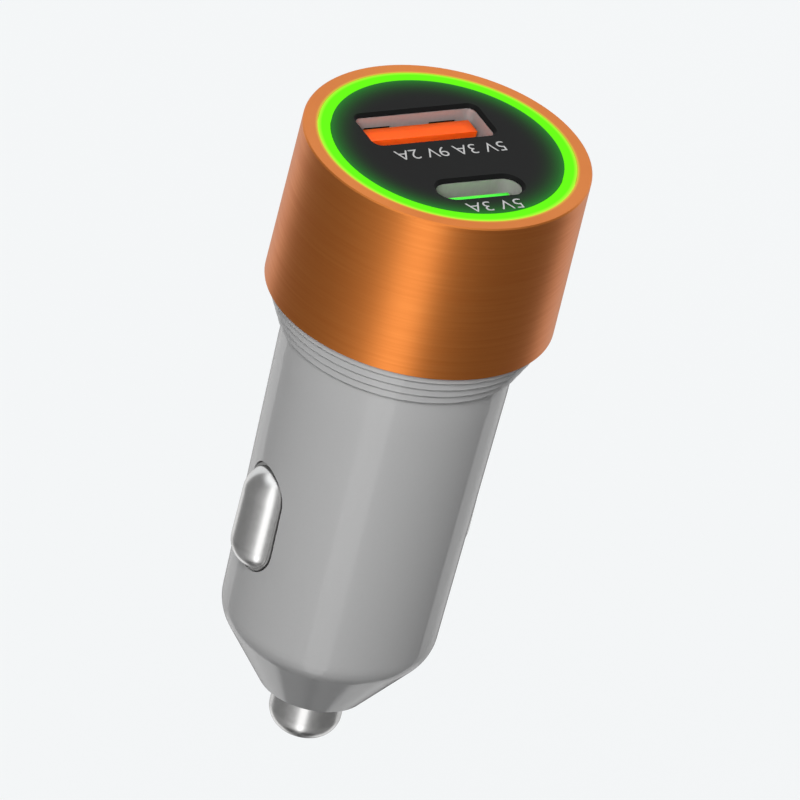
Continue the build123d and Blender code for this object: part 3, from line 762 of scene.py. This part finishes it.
class CHARGER_OT_springs(bpy.types.Operator):
    """Tip coil spring and leaf springs"""

    bl_idname = "charger.springs"
    bl_label = "Springs"

    def execute(self, context):
        sizes = context.scene.charger_sizes
        steel = stamped_steel()
        travel = {joint["name"]: joint["range_m"][1] for joint in frame["joints"]}
        self.coil(sizes, steel, travel["tip_slide"])
        for side, name in ((1, "right"), (-1, "left")):
            self.leaf(side, name, sizes, steel, travel[f"{name}_contact_slide"])
        return {"FINISHED"}

    def coil(self, sizes, steel, travel):
        """Coil between the terminal and the tip, which presses it together."""
        low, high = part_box("tip_spring")
        wire = sizes.tip_wire
        radius = high.x - wire / 2
        points = coil_points(radius, low.z + wire / 2, high.z - wire / 2, sizes.tip_turns, wire)
        mesh = wire_mesh("tip_coil_spring", points, wire)
        spring = add_piece("tip_coil_spring", mesh, steel)
        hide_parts("tip_spring")
        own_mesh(spring)

    def leaf(self, side, name, sizes, steel, travel):
        """Strip that stands on its seat at both ends and bows out to the side contact between them."""
        low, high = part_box(f"{name}_leaf_spring")
        seat = low.x if side > 0 else high.x
        crown = high.x if side > 0 else low.x
        half = sizes.leaf_thickness / 2
        middle = frame_middle(f"{name}_contact").z
        foot = low.z - middle + sizes.leaf_foot
        # The bow is narrow enough to stay clear of the side contact that presses it flat
        narrowness = 1.5
        steps = 24
        path = [(seat + side * half, low.z)]
        for step in range(steps + 1):
            share = step / steps
            height = middle + foot - 2 * foot * share
            rise = math.sin(math.pi * share) ** narrowness
            # Eases out of the seat and into the crown
            bow = rise * rise * (3 - 2 * rise)
            path.append((seat + side * (half + bow * (abs(crown - seat) - 2 * half)), height))
        path.append((seat + side * half, high.z))
        mesh = strip_mesh(f"{name}_bowed_leaf", path, sizes.leaf_thickness, low.y, high.y)
        spring = add_piece(f"{name}_bowed_leaf", mesh, steel)
        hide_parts(f"{name}_leaf_spring")
        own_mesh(spring)


class CHARGER_OT_boards(bpy.types.Operator):
    """Circuit boards and the contact holder"""

    bl_idname = "charger.boards"
    bl_label = "Boards And Holder"

    def execute(self, context):
        dress(glass_epoxy_board(), "port_board", "main_board", "led_board")
        dress(natural_nylon(), "contact_holder")
        return {"FINISHED"}


class CHARGER_OT_board_parts(bpy.types.Operator):
    """Chips, capacitors, choke and lamps"""

    bl_idname = "charger.board_parts"
    bl_label = "Board Parts"

    def execute(self, context):
        scene = context.scene
        dress(moulded_epoxy(), "charge_controller", "buck_controller")
        dress(sleeved_capacitor_can(), "input_capacitor", "output_capacitor")
        dress(fired_ferrite(), "inductor_core")
        lamps = [name for name in frame["nodes"] if name.startswith("led_") and name[4:].isdigit()]
        dress(white_lamp_case(scene.charger_colours.glow), *lamps)
        self.winding(scene.charger_sizes.winding_wire)
        return {"FINISHED"}

    def winding(self, wire):
        """Two layers of wire round the drum, wound along Y."""
        low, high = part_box("inductor_winding")
        middle = frame_middle("inductor_winding")
        radius = (high.x - low.x) / 2 - wire / 2
        turns = int((high.y - low.y) / wire)
        # The outer layer lies in the grooves of the inner one
        layer_rise = 0.87 * wire
        steps = 32
        points = []
        for layer in range(2):
            for step in range((turns - 1) * steps):
                turn = step / steps
                along = turn if layer == 0 else turns - 1 - turn
                angle = 2 * math.pi * turn
                reach = radius - (1 - layer) * layer_rise
                x = middle.x + reach * math.cos(angle)
                z = middle.z + reach * math.sin(angle)
                points.append((x, low.y + wire / 2 + along * wire, z))
        mesh = wire_mesh("choke_winding", points, wire)
        winding = add_piece("choke_winding", mesh, enamelled_copper())
        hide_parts("inductor_winding")


class CHARGER_OT_stage(bpy.types.Operator):
    """Camera, floor, lamps and reflector"""

    bl_idname = "charger.stage"
    bl_label = "Stage"

    def execute(self, context):
        scene = context.scene
        stage = scene.charger_stage
        self.camera(scene, stage)
        self.world(scene, stage, scene.charger_colours)
        self.floor(scene, stage, scene.charger_colours)
        self.lamps(scene, stage)
        self.reflector(scene, stage, scene.charger_colours)
        scene.view_settings.view_transform = "Standard"
        return {"FINISHED"}

    def towards(self, azimuth, elevation):
        """Unit vector from the plug towards a direction."""
        flat = math.cos(elevation)
        return Vector((math.sin(azimuth) * flat, -math.cos(azimuth) * flat, math.sin(elevation)))

    def camera(self, scene, stage):
        back = self.towards(stage.azimuth, stage.elevation)
        data = bpy.data.cameras.new("camera")
        data.type = "ORTHO"
        data.ortho_scale = stage.frame_width
        camera = bpy.data.objects.new("camera", data)
        scene.collection.objects.link(camera)
        right = Vector((math.cos(stage.azimuth), math.sin(stage.azimuth), 0))
        aim = Vector((0, 0, FACE_HEIGHT - stage.aim_drop)) + right * stage.aim_side
        camera.location = aim + back * stage.camera_distance
        camera.rotation_mode = "QUATERNION"
        camera.rotation_quaternion = (-back).to_track_quat("-Z", "Y") @ Quaternion((0, 0, 1), stage.roll)
        scene.camera = camera

    def seen_mask(self, tree):
        """One for camera, glossy and transmission rays, and zero for the rays that light the plug."""
        path = add_node(tree, "ShaderNodeLightPath").outputs
        first_two = {0: path["Is Camera Ray"], 1: path["Is Glossy Ray"]}
        either = add_node(tree, "ShaderNodeMath", first_two, operation="MAXIMUM").outputs[0]
        all_three = {0: either, 1: path["Is Transmission Ray"]}
        return add_node(tree, "ShaderNodeMath", all_three, operation="MAXIMUM").outputs[0]

    def world(self, scene, stage, colours):
        world = bpy.data.worlds.new("studio")
        world.use_nodes = True
        tree = world.node_tree
        light = tree.nodes["Background"]
        light.inputs["Color"].default_value = (1, 1, 1, 1)
        light.inputs["Strength"].default_value = stage.world_level
        shown = add_node(tree, "ShaderNodeBackground", {"Color": colours.backdrop, "Strength": 1.0})
        shaders = {0: self.seen_mask(tree), 1: light.outputs[0], 2: shown.outputs[0]}
        mix = add_node(tree, "ShaderNodeMixShader", shaders)
        tree.links.new(mix.outputs[0], tree.nodes["World Output"].inputs["Surface"])
        scene.world = world

    def floor(self, scene, stage, colours):
        """Floor of grey paint, which is seen in the backdrop's colour with a faint shadow."""
        shadow_share = 0.06
        mesh = turned_mesh("floor", (0, 0), (stage.floor_radius, 0))
        floor = bpy.data.objects.new("floor", mesh)
        floor.location.z = -stage.floor_drop
        scene.collection.objects.link(floor)
        # Grey paint, so that the floor throws little light up onto the plug
        material, tree, _ = new_material("painted_floor")
        paint = add_node(tree, "ShaderNodeBsdfDiffuse", {"Color": linear("747576")})
        shaded = add_node(tree, "ShaderNodeBsdfDiffuse", {"Color": colours.backdrop})
        even = add_node(tree, "ShaderNodeEmission", {"Color": colours.backdrop, "Strength": 1.0})
        seen = {0: shadow_share, 1: even.outputs[0], 2: shaded.outputs[0]}
        pale = add_node(tree, "ShaderNodeMixShader", seen)
        shaders = {0: self.seen_mask(tree), 1: paint.outputs[0], 2: pale.outputs[0]}
        mix = add_node(tree, "ShaderNodeMixShader", shaders)
        tree.links.new(mix.outputs[0], tree.nodes["Material Output"].inputs["Surface"])
        mesh.materials.append(material)

    def lamps(self, scene, stage):
        """Soft boxes whose level is the brightness that they give a white surface facing them."""
        # Degrees round from the camera's side, degrees above the horizon, and the level
        boxes = (
            ("key_lamp", -8, 36, stage.key_level),
            ("back_lamp", 172, 36, stage.key_level),
            ("left_lamp", -104, 20, stage.side_level),
            ("right_lamp", 110, 20, stage.side_level),
        )
        for name, azimuth, elevation, level in boxes:
            data = bpy.data.lights.new(name, "AREA")
            data.shape = "DISK"
            data.size = stage.lamp_size
            data.energy = level * (math.pi * stage.lamp_distance) ** 2
            lamp = bpy.data.objects.new(name, data)
            direction = self.towards(stage.azimuth + math.radians(azimuth), math.radians(elevation))
            lamp.location = direction * stage.lamp_distance
            lamp.rotation_mode = "QUATERNION"
            lamp.rotation_quaternion = direction.to_track_quat("Z", "Y")
            lamp.visible_glossy = False
            scene.collection.objects.link(lamp)

    def reflector(self, scene, stage, colours):
        """Bowl that only reflections see, with a bright ceiling. Its wall is open at the back."""
        floor_edge = (stage.reflector_radius, 0)
        rim = (stage.reflector_radius, stage.reflector_height)
        disc = turned_mesh("reflector_disc", (0, 0), floor_edge)
        wall = turned_mesh("reflector_wall", floor_edge, rim, math.radians(WALL_END))
        ceiling = turned_mesh("reflector_ceiling", (0, stage.reflector_height), rim)
        material = self.reflector_paint(stage, colours)
        for mesh in (disc, wall, ceiling):
            reflector = bpy.data.objects.new(mesh.name, mesh)
            reflector.location.z = -stage.floor_drop + MILLIMETRE
            reflector.rotation_euler.z = stage.azimuth - math.pi / 2
            scene.collection.objects.link(reflector)
            mesh.materials.append(material)
            reflector.visible_camera = False
            reflector.visible_diffuse = False
            reflector.visible_shadow = False
            reflector.visible_transmission = False

    def reflector_paint(self, stage, colours):
        """Bright strip on the camera's side, dark sides and a pale back, which fade to an even ceiling."""
        # Degrees round from the camera's side, and the brightness there
        levels = (
            (-180, 0.25),
            (-172, 0.35),
            (-162, 0.6),
            (-154, 0.8),
            (-129, 0.98),
            (-127, 0.48),
            (-114, 0.26),
            (-90, 0.24),
            (-60, 0.28),
            (-30, 0.48),
            (-14, 0.85),
            (-13, stage.strip_level),
            (12, stage.strip_level),
            (13, 0.58),
            (28, 0.31),
            (60, 0.2),
            (WALL_END - 2, 0.2),
            (WALL_END, 0.82),
            (156, 0.74),
            (165, 0.36),
            (171, 0.1),
            (180, 0.1),
        )
        # Millimetres from the middle, and the gain in brightness there. Only the nose, the tip and the
        # lower ends of the contacts mirror what is near
        gains = (
            (0, 0.281),
            (42, 0.281),
            (52, 1.17),
            (140, 1.147),
            (162, 0.796),
            (190, 0.796),
            (204, 1),
        )
        highest = max(gain for distance, gain in gains)
        material, tree, _ = new_material("reflector")
        place = add_node(tree, "ShaderNodeTexCoord").outputs["Object"]
        angle = add_node(tree, "ShaderNodeTexGradient", {0: place}, gradient_type="RADIAL").outputs["Fac"]
        stops = [(0.5 + degrees / 360, level / stage.strip_level) for degrees, level in levels]
        round_about = grey_ramp(tree, angle, stops)
        reach = add_node(tree, "ShaderNodeVectorMath", {0: place}, operation="LENGTH").outputs["Value"]
        way = add_node(tree, "ShaderNodeMapRange", {0: reach, 2: stage.reflector_radius}).outputs[0]
        radius = stage.reflector_radius / MILLIMETRE
        outward = grey_ramp(tree, way, [(distance / radius, gain / highest) for distance, gain in gains])
        factors = {0: outward, 1: highest * stage.strip_level}
        strength = add_node(tree, "ShaderNodeMath", factors, operation="MULTIPLY").outputs[0]
        painted = add_node(tree, "ShaderNodeEmission", {"Color": round_about, "Strength": strength})
        plain = {"Color": colours.backdrop, "Strength": stage.ceiling_level}
        ceiling = add_node(tree, "ShaderNodeEmission", plain)
        heights = {0: surface_height(tree), 1: stage.reflector_fade, 2: stage.reflector_height}
        rise = add_node(tree, "ShaderNodeMapRange", heights)
        shaders = {0: rise.outputs[0], 1: painted.outputs[0], 2: ceiling.outputs[0]}
        mix = add_node(tree, "ShaderNodeMixShader", shaders)
        tree.links.new(mix.outputs[0], tree.nodes["Material Output"].inputs["Surface"])
        return material


class CHARGER_PT_panel(bpy.types.Panel):
    """Lists the steps that dress the plug and set its stage"""

    bl_idname = "CHARGER_PT_panel"
    bl_label = "Car Charger Plug"
    bl_space_type = "VIEW_3D"
    bl_region_type = "UI"
    bl_category = "Charger"

    def draw(self, context):
        layout = self.layout
        for group in GROUPS.values():
            settings = getattr(context.scene, group)
            for name in settings.__annotations__:
                layout.prop(settings, name)
        for step in STEPS:
            layout.operator(step.bl_idname)


GROUPS = {
    ChargerColours: "charger_colours",
    ChargerSizes: "charger_sizes",
    ChargerTexts: "charger_texts",
    ChargerStage: "charger_stage",
}

STEPS = (
    CHARGER_OT_sleeve,
    CHARGER_OT_barrel,
    CHARGER_OT_light_ring,
    CHARGER_OT_face,
    CHARGER_OT_ratings,
    CHARGER_OT_outlets,
    CHARGER_OT_contacts,
    CHARGER_OT_springs,
    CHARGER_OT_boards,
    CHARGER_OT_board_parts,
    CHARGER_OT_stage,
)


def register():
    for group, place in GROUPS.items():
        bpy.utils.register_class(group)
        setattr(bpy.types.Scene, place, PointerProperty(type=group))
    for step in STEPS:
        bpy.utils.register_class(step)
    bpy.utils.register_class(CHARGER_PT_panel)


def unregister():
    bpy.utils.unregister_class(CHARGER_PT_panel)
    for step in reversed(STEPS):
        bpy.utils.unregister_class(step)
    for group, place in GROUPS.items():
        delattr(bpy.types.Scene, place)
        bpy.utils.unregister_class(group)


def main():
    register()
    for step in STEPS:
        group, name = step.bl_idname.split(".")
        getattr(getattr(bpy.ops, group), name)()


if __name__ == "__main__":
    main()
